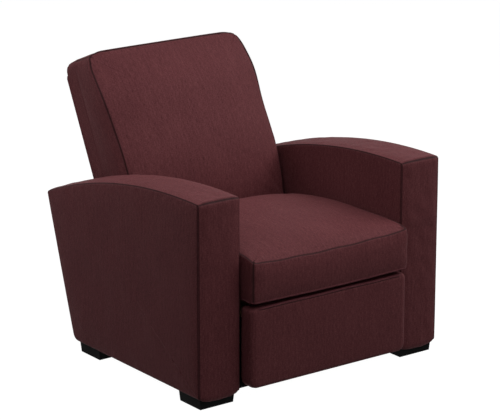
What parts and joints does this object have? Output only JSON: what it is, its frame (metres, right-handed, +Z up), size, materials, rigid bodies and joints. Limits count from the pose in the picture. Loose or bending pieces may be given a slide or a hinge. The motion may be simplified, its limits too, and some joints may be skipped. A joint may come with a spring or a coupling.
{
  "type": "cinema recliner",
  "caption": "Push-back club recliner: arched upholstered arms on black block feet, boxed seat and raked back, with a footrest panel on folding links under the seat",
  "frame": {"origin": "on the floor, under the middle of the chair's box", "axes": "+Z up, the chair faces -Y, +X to the viewer's right as the viewer faces the chair's front"},
  "size_m": [0.88, 0.9572, 0.8778],
  "materials": {
    "upholstery": "woven burgundy upholstery with a fine upright slub",
    "wood_frame": "bare sawn softwood and plywood",
    "mechanism_steel": "satin black powder coat",
    "spring_steel": "oiled spring wire",
    "fasteners": "zinc plated",
    "webbing": "woven elastic webbing",
    "foot_block": "black moulded, fine matt grain"
  },
  "bodies": {
    "back": {"back_bottom_rail": "wood_frame", "back_boxing": "upholstery", "back_cushion": "upholstery", "back_outer_panel": "upholstery", "back_top_rail": "wood_frame", "back_webbing": "webbing", "left_back_bracket": "mechanism_steel", "left_back_post": "wood_frame", "right_back_bracket": "mechanism_steel", "right_back_post": "wood_frame"},
    "base": {"base_bolts": "fasteners", "front_cross_rail": "wood_frame", "left_arm_frame": "wood_frame", "left_arm_front_pad": "upholstery", "left_arm_inner_pad": "upholstery", "left_arm_outer_pad": "upholstery", "left_arm_rear_pad": "upholstery", "left_arm_top_pad": "upholstery", "left_base_plate": "mechanism_steel", "left_front_foot": "foot_block", "left_rear_foot": "foot_block", "rear_cross_rail": "wood_frame", "right_arm_frame": "wood_frame", "right_arm_front_pad": "upholstery", "right_arm_inner_pad": "upholstery", "right_arm_outer_pad": "upholstery", "right_arm_rear_pad": "upholstery", "right_arm_top_pad": "upholstery", "right_base_plate": "mechanism_steel", "right_front_foot": "foot_block", "right_rear_foot": "foot_block"},
    "footrest": {"footrest_board": "wood_frame", "footrest_pad": "upholstery", "footrest_screws": "fasteners", "left_footrest_bracket": "mechanism_steel", "right_footrest_bracket": "mechanism_steel"},
    "cross_links": {"left_cross_link": "mechanism_steel", "right_cross_link": "mechanism_steel"},
    "end_links": {"left_end_link": "mechanism_steel", "right_end_link": "mechanism_steel"},
    "front_swing": {"left_front_swing_link": "mechanism_steel", "right_front_swing_link": "mechanism_steel"},
    "long_links": {"left_long_link": "mechanism_steel", "right_long_link": "mechanism_steel"},
    "lower_links": {"left_lower_link": "mechanism_steel", "right_lower_link": "mechanism_steel"},
    "rear_swing": {"left_rear_swing_link": "mechanism_steel", "right_rear_swing_link": "mechanism_steel", "torque_tube": "mechanism_steel"},
    "seat": {"left_seat_plate": "mechanism_steel", "left_seat_rail": "wood_frame", "return_springs": "spring_steel", "right_seat_plate": "mechanism_steel", "right_seat_rail": "wood_frame", "seat_cushion": "upholstery", "seat_front_rail": "wood_frame", "seat_rear_rail": "wood_frame", "seat_springs": "spring_steel"}
  },
  "joints": [
    {"name": "seat_glide", "type": "hinge", "parent": "base", "child": "rear_swing", "pos_m": [0, 0.01942, 0.11], "axis": [1, 0, 0], "range_deg": [0, 50]},
    {"name": "front_swing_pivot", "type": "hinge", "parent": "base", "child": "front_swing", "pos_m": [0, -0.28058, 0.11], "axis": [1, 0, 0], "range_deg": [0, 50]},
    {"name": "seat_level", "type": "hinge", "parent": "rear_swing", "child": "seat", "pos_m": [0, 0.05746, 0.19157], "axis": [1, 0, 0], "range_deg": [-50, 0], "deforming": ["return_springs"]},
    {"name": "footrest_long_pivot", "type": "hinge", "parent": "seat", "child": "long_links", "pos_m": [0, -0.37258, 0.27], "axis": [1, 0, 0], "range_deg": [-100, 0]},
    {"name": "footrest_lower_pivot", "type": "hinge", "parent": "seat", "child": "lower_links", "pos_m": [0, -0.32458, 0.258], "axis": [1, 0, 0], "range_deg": [-100, 0]},
    {"name": "footrest_cross_pivot", "type": "hinge", "parent": "long_links", "child": "cross_links", "pos_m": [0, -0.26678, 0.12438], "axis": [1, 0, 0], "range_deg": [0, 100]},
    {"name": "footrest_end_pivot", "type": "hinge", "parent": "long_links", "child": "end_links", "pos_m": [0, -0.25778, 0.08538], "axis": [1, 0, 0], "range_deg": [0, 100]},
    {"name": "footrest_panel_pivot", "type": "hinge", "parent": "cross_links", "child": "footrest", "pos_m": [0, -0.40208, 0.22], "axis": [1, 0, 0], "range_deg": [-100, 0]},
    {"name": "back_recline", "type": "hinge", "parent": "seat", "child": "back", "pos_m": [0, 0.13442, 0.32], "axis": [1, 0, 0], "range_deg": [-35, 0]}
  ],
  "couplings": [
    {"joint": "front_swing_pivot", "follows": "seat_glide", "ratio": 1},
    {"joint": "seat_level", "follows": "seat_glide", "ratio": -1},
    {"joint": "footrest_long_pivot", "follows": "seat_glide", "ratio": -2},
    {"joint": "footrest_lower_pivot", "follows": "seat_glide", "ratio": -2},
    {"joint": "footrest_cross_pivot", "follows": "seat_glide", "ratio": 2},
    {"joint": "footrest_end_pivot", "follows": "seat_glide", "ratio": 2},
    {"joint": "footrest_panel_pivot", "follows": "seat_glide", "ratio": -2}
  ]
}
